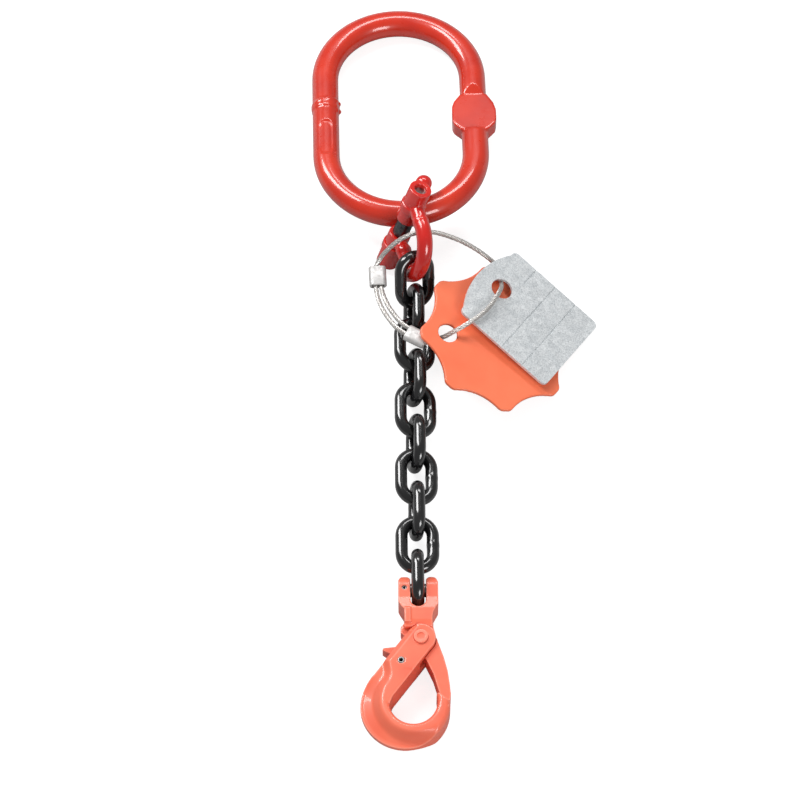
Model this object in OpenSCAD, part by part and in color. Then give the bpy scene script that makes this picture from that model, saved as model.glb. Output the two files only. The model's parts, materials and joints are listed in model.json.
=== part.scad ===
// Single-leg chain sling: oblong master link, two-half coupling link, short chain,
// clevis self-locking hook, and a wire loop that carries a grade plate and a rating tag.
// It lies on the ground. +Y runs along the leg toward the master link, +Z is up.

/* [Master link] */
// Diameter of the round bar
ring_bar = 13.4; // [11:0.2:15]
// Clear width inside the link
ring_in_w = 62; // [52:1:70]
// Clear length inside the link
ring_in_l = 110.5; // [95:0.5:130]
// Lean of the link to the left, in degrees
ring_lean = 1.5; // [0:0.5:6]
// Flat length of the coined pad on the right limb
pad_len = 23; // [18:0.2:26]
// Width of the coined pad
pad_w = 22.4; // [16:0.2:24]
// Thickness of the coined pad
pad_thick = 9; // [7:0.5:11]
// Width of the butt-weld bead on the left limb
weld_w = 4; // [2:0.5:6]
// Height of the weld bead above the bar
weld_h = 0.5; // [0.2:0.1:1]

/* [Coupling link] */
// Diameter of the coupling pin
pin_d = 6.2; // [5.4:0.1:6.8]
// Overall length over the two outer bosses
boss_span = 54.4; // [52:0.2:58]
// Diameter of each outer boss
boss_d = 11.2; // [10:0.2:12.4]
// Length of each outer boss
boss_len = 10.4; // [8:0.2:10.8]
// Depth of the pin end below the boss face
pin_recess = 2.5; // [0.5:0.1:3]
// Diameter of the eye flange at the foot of each boss
flange_d = 12.6; // [11.4:0.2:13.4]
// Thickness of the eye flange
flange_len = 4; // [3:0.1:5]
// Length of each inner eye along the pin
inner_eye_len = 7.2; // [6:0.1:8]
// Outer diameter of the bush between the inner eyes
bush_d = 8.2; // [7.6:0.1:9.4]
// Length of the bush
bush_len = 10.6; // [9:0.1:12]
// Bend radius of the crown, to the middle of its bar
bow_r = 15.5; // [14.5:0.1:17]
// Distance from the pin to the crown's bend centre
bow_y = 11.4; // [10:0.1:13]
// Diameter of its bent bar
arm_d = 7.8; // [7:0.1:8.2]
// Rise of the pin above level, in degrees
pin_rise = 68; // [62:0.1:74]
// Bearing of the pin's upper end from +X, in degrees
pin_bearing = 35; // [30:0.1:44]
// Turn of the upper half about the pin, in degrees
upper_turn = -55; // [-60:0.5:-50]
// Turn of the lower half about the pin, in degrees
lower_turn = 162; // [156:0.5:168]

/* [Chain] */
// Diameter of the chain wire
wire_d = 6; // [5:0.1:6.4]
// Pitch, which is the clear length inside a link
link_pitch = 18.4; // [17:0.1:20]
// Width over a link
link_w = 21; // [20:0.1:22.4]
// Slack between the wires of two neighbouring links
link_slack = 0.3; // [0.2:0.01:0.6]

/* [Hook clevis] */
// Diameter of the load pin
load_pin_d = 6.4; // [5.6:0.1:6.6]
// Width over the two ears
ear_span = 18.8; // [18:0.1:23]
// Radius of the ears round the load pin
ear_r = 6.4; // [6:0.1:7.2]
// Length from the load pin to the foot of the neck
neck_len = 24; // [22:0.2:27]
// Height of the ears' tops above the load pin
ear_top = 6.2; // [5.4:0.1:7]
// Width of the slot for the chain
slot_w = 7.4; // [6.8:0.1:8]
// Diameter of the spring pin that keeps the load pin
keeper_d = 2.4; // [1.8:0.1:2.8]
// Width of the neck below the ears
neck_w = 13.8; // [12:0.1:15]
// Thickness of the tongue between the cheeks
tongue_t = 7.2; // [6:0.1:8]
// Thickness of the latch arm
latch_t = 11; // [9:0.1:13]

/* [Hook jaw] */
// Distance from the load pin to the jaw rivet
rivet_drop = 27.4; // [26:0.1:30]
// Diameter of the jaw rivet
rivet_d = 6.6; // [5.6:0.1:7.4]
// Radius of the cheeks round the rivet
cheek_r = 7; // [6.4:0.1:7.6]
// Thickness over both cheeks
cheek_span = 16.4; // [15:0.1:18]
// Thickness of the bowl
bowl_t = 15.8; // [13:0.1:17]
// Radius of the clear opening in the bowl
bowl_in_r = 11.2; // [9.5:0.1:12]
// Radius of the outside of the bowl
bowl_out_r = 20.9; // [19.5:0.1:22]
// Radius on the long edges of the bowl
bowl_edge_r = 3; // [1:0.1:4]
// Thickness of the bowl's thin outer rim
rim_t = 3; // [2:0.1:6]
// Width of the rim beside the sunk web
rim_w = 1.6; // [1:0.1:3]
// Width of the thick bead around the bowl's opening
bead_w = 6.7; // [5:0.1:8]
// Gap between the jaw tip and the latch arm
tip_gap = 0.4; // [0.2:0.1:1]

/* [Trigger] */
// Diameter of the roll pin that carries the trigger
roll_pin_d = 3.2; // [2.4:0.1:3.6]
// Radius of the trigger's hub
trigger_r = 4.3; // [3.8:0.1:4.8]
// Gap between the trigger's nose and the tongue
nose_gap = 0.8; // [0.5:0.1:1.2]
// Wire diameter of the trigger spring
spring_wire = 0.7; // [0.5:0.05:0.8]

/* [Tags] */
// Diameter of the wire rope
rope_d = 2.4; // [2:0.1:2.8]
// Length of each crimped ferrule
ferrule_len = 10.5; // [9:0.5:13]
// Width of each crimped ferrule
ferrule_w = 8.6; // [7.6:0.1:10]
// Thickness of each crimped ferrule
ferrule_t = 4.4; // [3.8:0.1:5]
// Distance over opposite lobes of the grade plate
plate_span = 81.4; // [72:0.2:90]
// Thickness of the grade plate
plate_t = 2; // [1.5:0.1:3]
// Depth of the hollows between the lobes
plate_hollow = 5.5; // [3:0.5:8]
// Diameter of the hole in the grade plate
plate_hole_d = 10; // [8:0.5:12]
// Length of the rating tag
tag_len = 61; // [54:1:68]
// Width of the rating tag
tag_w = 50; // [38:1:54]
// Thickness of the rating tag
tag_t = 1.5; // [1:0.1:2.5]
// Diameter of the hole in the rating tag
tag_hole_d = 11; // [9:0.5:13]

/* [Hidden] */
$fn = 64;

// Clearances
fit = 0.03;          // radial, on every pin in its bore
side_gap = 0.15;     // between faces that turn past each other
touch = 0.3;         // between pieces that bear on each other loosely
more = 0.5;          // how far a cut runs past what it cuts

// ---- Coupling: the pin's direction and the two halves' directions
pin_dir = [cos(pin_rise) * cos(pin_bearing), cos(pin_rise) * sin(pin_bearing), sin(pin_rise)];
flat_dir = [-sin(pin_bearing), cos(pin_bearing), 0];
steep_dir = cross(pin_dir, flat_dir);
upper_dir = cos(upper_turn) * flat_dir + sin(upper_turn) * steep_dir;
lower_dir = cos(lower_turn) * flat_dir + sin(lower_turn) * steep_dir;
crown_y = bow_y + bow_r;
// The lower boss touches the ground, and its rim is as low as this below the pin's middle
pin_drop = boss_span / 2 * sin(pin_rise) + boss_d / 2 * cos(pin_rise);

// ---- Chain: the first two links climb to the coupling, and the rest lie level
link_count = 10;
wire_r = wire_d / 2;
link_bend_r = (link_w - wire_d) / 2;
crown_to_crown = link_pitch + wire_d;
// Distance between the crown wires of two neighbours, along the lower one
lock = wire_d + link_slack;
// The first link climbs to the coupling, the second a little, and the rest lie level
second_climb = 3;
first_lean = 1;
leg_lean = 0.6;
turn = [24, 17, 19, 20, 17, 14, 11, 8, 4, 0];
leg_z = link_w / 2;
// Room that two locked crowns leave each other, past their bends' centres
nest = link_bend_r - lock;
second_top_z = leg_z + (nest + crown_to_crown) * sin(second_climb);
// Step from the first link's lower crown up to the second's upper crown
second_step = [-0.5, link_bend_r - 0.9, 1];
// The first link's upper crown lies in the lower half's bend, from the pin's middle
bow_room = bow_r - arm_d / 2 - wire_r - touch;
seat = (bow_y + bow_room) * lower_dir - 0.5 * pin_dir - 0.9 * cross(pin_dir, lower_dir);
first_climb = asin((pin_drop + seat.z - second_top_z + second_step.z) / crown_to_crown);
function climb_of(k) = k == 0 ? first_climb : k == 1 ? second_climb : 0;
function lean_of(k) = k == 0 ? first_lean : leg_lean;
function link_dir(k) = [-sin(lean_of(k)) * cos(climb_of(k)), cos(lean_of(k)) * cos(climb_of(k)),
    sin(climb_of(k))];
// The leg's own line starts at x = 0 and y = 0, before the model is centred
pin_mid = [-seat.x, -seat.y, pin_drop];
// Upper and lower crown wire of link k, counted from 0
function link_top(k) = k == 0 ? pin_mid + seat :
    k == 1 ? link_low(0) + second_step :
    link_low(k - 1) - nest * link_dir(k - 1) + link_bend_r * link_dir(k);
function link_low(k) = link_top(k) - crown_to_crown * link_dir(k);

// ---- Master link: its far end lies on the ground and its near limb in the upper half
ring_bend_r = (ring_in_w + ring_bar) / 2;
ring_reach = ring_in_l + ring_bar;
limb_y = boss_d / 2 + ring_bar / 2 + 0.4;
limb_mid = pin_mid + limb_y * upper_dir - 4 * pin_dir - [2.8, -0.7, 0];
ring_tilt = asin((limb_mid.z - ring_bar / 2) / ring_reach);

// ---- Hook, in its own frame: origin on the load pin, +Y toward the chain
hook_drop = 0.8;     // the load pin lies this much below the leg's line
hook_back = 0.6;
hook_at = link_low(link_count - 1) + [0, link_bend_r - hook_back, -hook_drop];
rivet = [0.9, -rivet_drop];
strap_lean = 36.8;   // of the cheeks' strap from the leg's line, in degrees
strap_dir = [-sin(strap_lean), -cos(strap_lean)];
strap_side = [-cos(strap_lean), sin(strap_lean)];
strap_out = 7.2;      // of the strap's upper edge from the rivet
strap_in = 6.9;    // of its lower edge
bowl_in = rivet + [-3.9, -31.6];
bowl_out = rivet + [-7.6, -32.4];
roll_pin = rivet + [-9.3, -11.5];
cheek_gap = tongue_t + 2 * side_gap;
fork_len = 25;       // from the rivet to the root between the cheeks
latch_tip_in = rivet + [8.3, -27.4];
latch_tip_out = rivet + [13.1, -31.6];
latch_root_in = rivet + [1.6, -8.6];

// ---- Grade plate and rating tag, laid on the chain and on each other
plate_at = [40.3, -37.8, 14.4];
plate_tip = 19;      // fall of the plate to the right, in degrees
plate_turn = 6;
plate_hole_at = [-25.5, 0.8];
tag_at = [54.4, -24.6, 14.9];
tag_tip = 21.5;
tag_turn = 36.6;
tag_hole_at = [-tag_len / 2 + 13.6, 2];

// ---- Wire rope: one length whose two ends lie side by side in both ferrules
rope_route = [
    [8.4, -41.5, 20.3], [4.7, -44.5, 22], [0.3, -42.9, 22.5], [-4.6, -39.5, 22.5],
    [-9, -35.9, 22.5], [-12.9, -30.3, 22], [-16.3, -23.2, 21], [-18.3, -15.9, 20],
    [-19.2, -8.5, 20], [-19.2, -2.5, 20.5], [-16.9, 2.3, 23], [-12.9, 5.1, 27.5],
    [-8, 7, 32.5], [-3.1, 7.9, 36.2], [0.9, 8.5, 37.6], [5.8, 9.3, 37.2], [10.7, 10.1, 35.2],
    [16.6, 10.5, 31.4], [23.1, 9.9, 27.6], [29.6, 8.2, 23.6], [35.1, 6.1, 20],
    [40.3, 2.4, 17.4], [42.4, -3, 16.5], [43, -8.2, 17], [43.1, -11.2, 19.6],
    [42.4, -14.8, 22.6], [40.2, -20.4, 24.6], [37, -26, 25.6], [33, -31, 26.8],
    [28.2, -35, 27.3], [23.8, -38, 26.9], [20.4, -39.4, 25.6], [17.6, -40, 23.5],
    [14.8, -40.2, 20.8], [11.6, -40.4, 19.4], [8, -39.6, 20.4], [5.2, -41.3, 22.2],
    [1.8, -39.2, 22.5], [-2.4, -36.8, 22.5], [-6.8, -33, 22.5], [-10.6, -27.5, 22],
    [-13.7, -21, 21], [-15.8, -14.2, 20], [-16.7, -7.9, 20], [-17.1, -2.5, 20.5]];
ferrule_upper_at = [-18.0, -6.3, 20.2];
ferrule_lower_at = [0.9, -41.4, 22.5];

// ---- The whole model is centred on its own outline
far_y = limb_mid.y + ring_reach * cos(ring_tilt) + ring_bar / 2;
near_y = hook_at.y + bowl_out.y - bowl_out_r;
left_x = limb_mid.x - ring_reach / 2 * sin(ring_lean) - ring_in_w / 2 - ring_bar;
right_x = tag_at.x + 33.8;
centre = [-(left_x + right_x) / 2, -(near_y + far_y) / 2, 0];

// Places children with their x, y and z along three unit vectors
module along(x, y, z, at) {
    multmatrix([[x.x, y.x, z.x, at.x], [x.y, y.y, z.y, at.y], [x.z, y.z, z.z, at.z]])
        children();
}

// Cylinder along X from x0 to x1
module cyl_x(d, x0, x1) {
    translate([x0, 0, 0]) rotate([0, 90, 0]) cylinder(d = d, h = x1 - x0);
}

// Round bar from one point to another in the XY plane
module bar(d, from, to) {
    run = to - from;
    translate(from) rotate([0, 0, atan2(run.y, run.x)]) rotate([0, 90, 0])
        cylinder(d = d, h = norm(run));
}

// Oblong link of round bar in the XY plane, long side along Y
module oblong(bar_d, bend_r, reach) {
    half = reach / 2 - bend_r;
    for (s = [0, 180]) rotate([0, 0, s]) {
        translate([0, half, 0]) rotate_extrude(angle = 180) translate([bend_r, 0]) circle(d = bar_d);
        translate([bend_r, -half, 0]) rotate([-90, 0, 0]) cylinder(d = bar_d, h = 2 * half);
    }
}

module centred() { translate(centre) children(); }

// ---- Master link, drawn with its near limb's middle at the origin
module in_ring() {
    centred() translate(limb_mid) rotate([0, 0, ring_lean]) rotate([-ring_tilt, 0, 0])
        translate([0, ring_reach / 2, 0]) children();
}

// Middle of the coined pad along its limb
pad_y = -0.9; // [-3:0.1:6]

module pad_outline() {
    half = pad_w / 2;
    end = pad_len / 2;
    polygon([[-0.6 * half, -end], [0.6 * half, -end], [0.94 * half, -0.64 * end], [half, -0.38 * end],
        [half, 0.12 * end], [0.9 * half, 0.5 * end], [0.6 * half, end], [-0.6 * half, end],
        [-0.9 * half, 0.6 * end], [-half, 0.3 * end], [-half, -0.5 * end], [-0.92 * half, -0.7 * end]]);
}

// Presses the bar flat at the pad, with a slope at the pad's upper end
module pad_dies() {
    for (s = [0, 1]) mirror([0, 0, s]) translate([ring_bend_r, pad_y, pad_thick / 2]) {
        translate([-ring_bar, -pad_len / 2, 0]) cube([2 * ring_bar, pad_len, ring_bar]);
        translate([-ring_bar, pad_len / 2, 0]) rotate([24.6, 0, 0])
            translate([0, -ring_bar / 2, 0]) cube([2 * ring_bar, 2 * ring_bar, ring_bar]);
    }
}

module master_link() {
    color("orangered") in_ring() {
        difference() {
            oblong(ring_bar, ring_bend_r, ring_reach);
            pad_dies();
        }
        translate([ring_bend_r, pad_y, -pad_thick / 2]) linear_extrude(pad_thick) pad_outline();
        // butt-weld bead
        translate([-ring_bend_r, 6, 0]) rotate([90, 0, 0])
            cylinder(d = ring_bar + 2 * weld_h, h = weld_w, center = true);
    }
}

// ---- Coupling: both halves are one forging, drawn with the outer boss at +X
module coupling_half() {
    out_x = boss_span / 2;
    foot_x = out_x - boss_len;
    eye_x0 = bush_len / 2 + side_gap;
    elbow = [-(eye_x0 + inner_eye_len / 2), 8.6];
    join = 38;       // where the inner arm meets the bend, in degrees round it
    join_at = [-bow_r * cos(join), bow_y + bow_r * sin(join)];
    inner_d = inner_eye_len - 0.2;
    ball = 0.5;      // a joining ball is this much wider than its bar
    difference() {
        union() {
            cyl_x(boss_d, foot_x, out_x);
            cyl_x(flange_d, foot_x - flange_len, foot_x);
            cyl_x(boss_d, -eye_x0 - inner_eye_len, -eye_x0);
            translate([0, bow_y, 0]) rotate_extrude(angle = 180 - join)
                translate([bow_r, 0]) circle(d = arm_d);
            bar(arm_d, [foot_x + 0.5, 0], [bow_r, bow_y]);
            translate([bow_r, bow_y, 0]) sphere(d = arm_d + ball);
            bar(inner_d, [elbow.x, 0], elbow);
            translate(elbow) sphere(d = inner_d + 2 * ball);
            bar(inner_d, elbow, join_at);
            translate(join_at) sphere(d = arm_d + ball);
        }
        cyl_x(pin_d + 2 * fit, -out_x - more, out_x + more);
        // the faces beside the bush and beside the other half's flange stay flat
        cyl_x(boss_d + 2 * more, -eye_x0, eye_x0);
        cyl_x(flange_d + 4 * side_gap, -out_x - more, -eye_x0 - inner_eye_len);
        cyl_x(boss_d + 2 * more, eye_x0 - 1, eye_x0 + inner_eye_len + side_gap);
    }
}

module coupling_half_upper() {
    color("crimson") centred()
        along(-pin_dir, upper_dir, cross(-pin_dir, upper_dir), pin_mid) coupling_half();
}

module coupling_half_lower() {
    color("crimson") centred()
        along(pin_dir, lower_dir, cross(pin_dir, lower_dir), pin_mid) coupling_half();
}

module in_coupling() {
    centred() along(pin_dir, lower_dir, cross(pin_dir, lower_dir), pin_mid) children();
}

module coupling_pin() {
    half = boss_span / 2 - pin_recess;
    color("silver") in_coupling() cyl_x(pin_d, -half, half);
}

module coupling_bush() {
    color("dimgray") in_coupling() difference() {
        cyl_x(bush_d, -bush_len / 2, bush_len / 2);
        cyl_x(pin_d + 2 * fit, -bush_len / 2 - more, bush_len / 2 + more);
    }
}

// ---- Chain: links 1, 3, 5, 7 and 9 lie flat and the others stand on edge
module chain_link(number) {
    k = number - 1;
    stand = k % 2 == 1 ? 90 : 0;
    mid = (link_top(k) + link_low(k)) / 2;
    color([0.1, 0.1, 0.11]) centred() translate(mid) rotate([0, 0, lean_of(k)])
        rotate([climb_of(k), 0, 0]) rotate([0, turn[k] + stand, 0]) oblong(wire_d, link_bend_r, crown_to_crown);
}

// ---- Hook: flat outlines in the hook's own frame
module in_hook() { centred() translate(hook_at) rotate([0, 0, leg_lean]) children(); }

// Outside of the clevis, without its slot
module clevis_outline() {
    ear = ear_span / 2;
    neck = neck_w / 2;
    polygon([[-ear, 3], [-ear + 1.2, 5.6], [-ear + 2.6, ear_top], [-ear + 4.4, ear_top - 0.3],
        [-slot_w / 2, 3.6], [slot_w / 2, 3.6], [ear - 4.4, ear_top - 0.6],
        [ear - 2.6, ear_top - 0.3], [ear - 1, 4.6], [ear, 2], [ear, -9.6], [neck, -14],
        [neck - 0.4, -17], [neck - 0.2, -21.4], [-neck, -21.4], [-neck + 0.6, -13.6],
        [-ear + 1, -10.4], [-ear, -8.6]]);
}

// Latch arm, from beside the rivet down to the seam
module latch_outline() {
    polygon([[neck_w / 2 - 0.4, -17.4], [neck_w / 2, -21.4], rivet + [8.2, -2],
        rivet + [10.6, -9], rivet + [12.3, -16], rivet + [13.2, -23], rivet + [13.6, -28],
        latch_tip_out, latch_tip_in, rivet + [5.6, -17.6], latch_root_in, rivet + [0, -5],
        rivet + [0, 4], [0, -19]]);
}

// Tongue round the rivet, with the two stops on its left
module tongue_outline() {
    translate(rivet) circle(r = cheek_r + 0.4);
    polygon([[-neck_w / 2, -17], [-neck_w / 2, -18.6], [-neck_w / 2 - 1.6, -20.4],
        [-neck_w / 2 - 1.6, -23.2], [-neck_w / 2 + 0.2, -25], rivet + [-5.6, -3],
        rivet + [4, -3], [neck_w / 2, -21], [neck_w / 2, -17]]);
}

// Strap and round end of the cheeks, grown by a gap
module strap_outline(grow) {
    up = strap_out + grow;
    translate(rivet) {
        circle(r = cheek_r + grow);
        polygon([(up - 1) * strap_side - 2.5 * strap_dir, up * strap_side + 4 * strap_dir,
            up * strap_side + 27 * strap_dir, -2 * strap_side + 36 * strap_dir,
            -(strap_in + 1) * strap_side + 35.4 * strap_dir,
            -(strap_in + grow) * strap_side + 31.6 * strap_dir,
            -(strap_in + grow) * strap_side + 0.5 * strap_dir]);
    }
}

// Round the load pin and thicker toward the neck, seen along X as [y, z]
module clevis_side() {
    shoulder = cheek_span / 2 - 0.8;
    circle(r = ear_r);
    polygon([[0, ear_r], [-neck_len / 4, ear_r], [-neck_len / 2, shoulder], [-0.75 * neck_len, shoulder],
        [-neck_len, 0.8 * shoulder], [-neck_len, -0.8 * shoulder], [-0.75 * neck_len, -shoulder],
        [-neck_len / 2, -shoulder], [-neck_len / 4, -ear_r], [0, -ear_r]]);
}

module hook_clevis() {
    color("coral") in_hook() difference() {
        union() {
            // ears and neck, clear of the cheeks
            difference() {
                intersection() {
                    translate([0, 0, -cheek_span]) linear_extrude(2 * cheek_span) clevis_outline();
                    rotate([90, 0, 90]) linear_extrude(ear_span, center = true) clevis_side();
                }
                translate([rivet.x, rivet.y, -cheek_span])
                    cylinder(r = cheek_r + touch, h = 2 * cheek_span);
            }
            translate([0, 0, -tongue_t / 2]) linear_extrude(tongue_t) tongue_outline();
            // latch arm at its full thickness beside the cheeks
            difference() {
                translate([0, 0, -latch_t / 2]) linear_extrude(latch_t) latch_outline();
                translate([0, 0, -latch_t / 2 - 1]) linear_extrude(latch_t + 2)
                    strap_outline(touch);
            }
            translate([0, 0, -tongue_t / 2]) linear_extrude(tongue_t) intersection() {
                latch_outline();
                translate(rivet) circle(r = cheek_r + 5);
            }
        }
        // slot for the last link, round at its foot
        translate([-slot_w / 2, -7.4, -cheek_span]) cube([slot_w, 20, 2 * cheek_span]);
        translate([0, -7.4, -cheek_span]) cylinder(d = slot_w, h = 2 * cheek_span);
        cyl_x(load_pin_d + 2 * fit, -ear_span, ear_span);
        translate([keeper_x, keeper_y, -ear_r - more])
            cylinder(d = keeper_d + 2 * fit, h = 2 * ear_r + 2 * more);
        translate([rivet.x, rivet.y, -ear_r]) cylinder(d = rivet_d + 2 * fit, h = 2 * ear_r);
    }
}

// The keeper crosses the left ear and a hole in the load pin
keeper_x = -slot_w / 4 - ear_span / 4;
keeper_y = -1;
keeper_half = sqrt(pow(ear_r, 2) - pow(keeper_y, 2)) - 0.6;

module load_pin() {
    color("silver") in_hook() difference() {
        cyl_x(load_pin_d, -ear_span / 2 + 0.2, ear_span / 2 - 0.2);
        translate([keeper_x, keeper_y, 0])
            cylinder(d = keeper_d + 2 * fit, h = 2 * ear_r, center = true);
    }
}

module load_pin_keeper() {
    color("gray") in_hook() translate([keeper_x, keeper_y, 0]) difference() {
        cylinder(d = keeper_d, h = 2 * keeper_half, center = true);
        cylinder(d = keeper_d / 2, h = 2 * keeper_half + 2 * more, center = true);
    }
}

// Half of a rounded disc's profile, from its axis outward
module disc_profile(r, t, edge) {
    translate([0, -t / 2]) square([r - edge, t]);
    translate([0, -t / 2 + edge]) square([r, t - 2 * edge]);
    for (s = [1, -1]) translate([r - edge, s * (t / 2 - edge)]) circle(r = edge);
}

// Half of a bore's profile that flares by a rounded edge at both faces
module bore_profile(r, t, edge) {
    difference() {
        translate([0, -t / 2 - 1]) square([r + edge, t + 2]);
        translate([r, -t / 2 + edge]) square([edge + 1, t - 2 * edge]);
        for (s = [1, -1]) translate([r + edge, s * (t / 2 - edge)]) circle(r = edge);
    }
}

// Everything beside the strap and above the seam, which the bowl leaves to the latch arm
module throat_outline() {
    gap_side = tip_gap * [0.63, 0.77];
    polygon([rivet - 0.2 * cheek_r * strap_side, rivet - 0.2 * cheek_r * strap_side + 2.3 * cheek_r * strap_dir,
        rivet - 0.74 * cheek_r * strap_side + 1.22 * bowl_out_r * strap_dir, bowl_in, latch_tip_in - gap_side, latch_tip_out - gap_side,
        latch_tip_out + bowl_out_r * [0.57, -0.19], rivet + [1.4 * bowl_out_r, 0]]);
}

module bead_core() {
    translate([bowl_in.x + 1, bowl_in.y + 0.3, -1]) cylinder(r = bowl_in_r + bead_w, h = 2 * bowl_t);
}

// Slopes the foot of the strap down to the sunk web
module strap_ramp() {
    for (s = [0, 1]) mirror([0, 0, s]) difference() {
        translate([rivet.x + 24.5 * strap_dir.x, rivet.y + 24.5 * strap_dir.y, bowl_t / 2])
            rotate([0, 0, atan2(strap_dir.y, strap_dir.x)]) rotate([0, 27, 0])
            translate([0, -30, 0]) cube([40, 60, 20]);
        bead_core();
    }
}

// Sinks both faces between the bead and the rim, as forging dies do
module web_cut() {
    r = bowl_out_r;
    for (s = [0, 1]) mirror([0, 0, s]) difference() {
        translate(bowl_out) rotate_extrude()
            polygon([[0.43 * r, bowl_t / 2 - 2], [r - rim_w, rim_t / 2], [1.1 * r, rim_t / 2],
                [1.1 * r, bowl_t], [0.43 * r, bowl_t]]);
        bead_core();
        translate([bowl_out.x, bowl_out.y, -1]) linear_extrude(2 * bowl_t)
            polygon([[0, 0], for (a = [-20, 20, 60, 100]) 3 * r * [cos(a), sin(a)]]);
    }
}

module hook_jaw() {
    color("coral") in_hook() difference() {
        union() {
            difference() {
                translate([0, 0, -bowl_t / 2]) linear_extrude(bowl_t) strap_outline(0);
                strap_ramp();
            }
            // cheeks, a little thicker than the bowl
            translate([0, 0, -cheek_span / 2]) linear_extrude(cheek_span) difference() {
                strap_outline(0);
                translate(bowl_out) circle(r = bowl_out_r - 4);
            }
            difference() {
                translate(bowl_out) rotate_extrude() disc_profile(bowl_out_r, bowl_t, bowl_edge_r);
                translate([0, 0, -bowl_t]) linear_extrude(2 * bowl_t) throat_outline();
                translate(bowl_in) rotate_extrude() bore_profile(bowl_in_r, bowl_t, 0.75 * bowl_edge_r);
                web_cut();
            }
        }
        // room between the cheeks for the tongue and the trigger
        translate([rivet.x, rivet.y, -cheek_gap / 2]) linear_extrude(cheek_gap)
            polygon([12 * strap_side - 12 * strap_dir, 12 * strap_side + fork_len * strap_dir,
                -4.9 * strap_side + fork_len * strap_dir, -4.9 * strap_side + 9.6 * strap_dir,
                -12 * strap_side + 9.6 * strap_dir, -12 * strap_side - 12 * strap_dir]);
        translate([rivet.x, rivet.y, -cheek_span / 2 - more])
            cylinder(d = rivet_d + 2 * fit, h = cheek_span + 2 * more);
        translate([roll_pin.x, roll_pin.y, -cheek_span / 2 - more])
            cylinder(d = roll_pin_d + 2 * fit, h = cheek_span + 2 * more);
    }
}

module jaw_rivet() {
    half = cheek_span / 2 + 1.2;
    color("coral") in_hook() translate(rivet) difference() {
        cylinder(d = rivet_d, h = 2 * half, center = true);
        for (s = [0, 180]) rotate([s, 0, 0]) translate([0, 0, half - 0.4]) cylinder(d = 3.6, h = 1);
    }
}

// Trigger: hub on the roll pin, thumb piece to the left, nose toward the tongue
module trigger_outline() {
    nose = cheek_r + nose_gap + touch;
    to_rivet = (rivet - roll_pin) / norm(rivet - roll_pin);
    difference() {
        union() {
            circle(r = trigger_r);
            polygon([[-2.4, 8.6], [-8.2, 8], [-8.8, 7.1], [-7.2, 6], [-5.2, 5.2], [-4, 1], [0, -2], [2, 2],
                [-1, 6.4]]);
            polygon([2.6 * [to_rivet.y, -to_rivet.x], 2.2 * [to_rivet.y, -to_rivet.x] + 8 * to_rivet,
                2.2 * [-to_rivet.y, to_rivet.x] + 8 * to_rivet, 2.6 * [-to_rivet.y, to_rivet.x]]);
        }
        translate(rivet - roll_pin) circle(r = nose);
    }
}

trigger_t = cheek_gap - 2 * side_gap;
spring_turns = 3;
spring_room = spring_turns * (spring_wire + 0.05) + spring_wire + 0.3;

module trigger() {
    color("coral") in_hook() translate(roll_pin) difference() {
        translate([0, 0, -trigger_t / 2]) linear_extrude(trigger_t) trigger_outline();
        cylinder(d = roll_pin_d + 2 * fit, h = 20, center = true);
        translate([0, 0, -trigger_t / 2 - more]) cylinder(d = roll_pin_d + 3.6, h = spring_room + more);
    }
}

module trigger_pin() {
    color("silver") in_hook() translate(roll_pin) difference() {
        cylinder(d = roll_pin_d, h = cheek_span - 0.4, center = true);
        cylinder(d = roll_pin_d / 2, h = cheek_span + 1, center = true);
    }
}

// Helix of three turns round the roll pin
spring_r = roll_pin_d / 2 + 0.15 + spring_wire / 2;
spring_line = [for (i = [0 : 14 * spring_turns]) let (a = i * 360 / 14)
    [spring_r * cos(a), spring_r * sin(a), (spring_wire + 0.05) * a / 360]];

module trigger_spring() {
    color("silver") in_hook()
        translate([roll_pin.x, roll_pin.y, -trigger_t / 2 + spring_wire / 2 + 0.05])
            tube(spring_line, spring_wire, 6);
}

// ---- A tube swept along points, with its rings turned as little as possible
function unit(v) = v / norm(v);
function run_of(p, i) = unit(p[min(i + 1, len(p) - 1)] - p[max(i - 1, 0)]);
function square_to(v, t) = unit(v - (v * t) * t);
function sides_of(p, i, v) = i >= len(p) ? [] :
    let (n = square_to(v, run_of(p, i))) concat([n], sides_of(p, i + 1, n));

module tube(p, d, sides) {
    side = sides_of(p, 0, abs(run_of(p, 0).z) < 0.9 ? [0, 0, 1] : [1, 0, 0]);
    points = [for (i = [0 : len(p) - 1]) let (t = run_of(p, i), n = side[i], b = cross(t, n))
        for (j = [0 : sides - 1]) let (a = j * 360 / sides)
            p[i] + d / 2 * (cos(a) * n + sin(a) * b)];
    last = (len(p) - 1) * sides;
    faces = concat([[for (j = [0 : sides - 1]) j]],
        [[for (j = [0 : sides - 1]) last + sides - 1 - j]],
        [for (i = [0 : len(p) - 2]) for (j = [0 : sides - 1]) let (k = (j + 1) % sides)
            [i * sides + j, (i + 1) * sides + j, (i + 1) * sides + k, i * sides + k]]);
    polyhedron(points, faces, convexity = 10);
}

// Smooth line through the route, with two steps between its points
function eased(p, i, u) = let (a = p[max(i - 1, 0)], b = p[i], c = p[i + 1],
    d = p[min(i + 2, len(p) - 1)])
    b + u * (c - a) / 2 + u * u * (a - 2.5 * b + 2 * c - d / 2)
    + u * u * u * (1.5 * b - 1.5 * c + (d - a) / 2);
rope_line = concat([for (i = [0 : len(rope_route) - 2]) for (u = [0, 0.5]) eased(rope_route, i, u)],
    [rope_route[len(rope_route) - 1]]);

module tag_wire() { color("lightgray") centred() tube(rope_line, rope_d, 8); }

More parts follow.
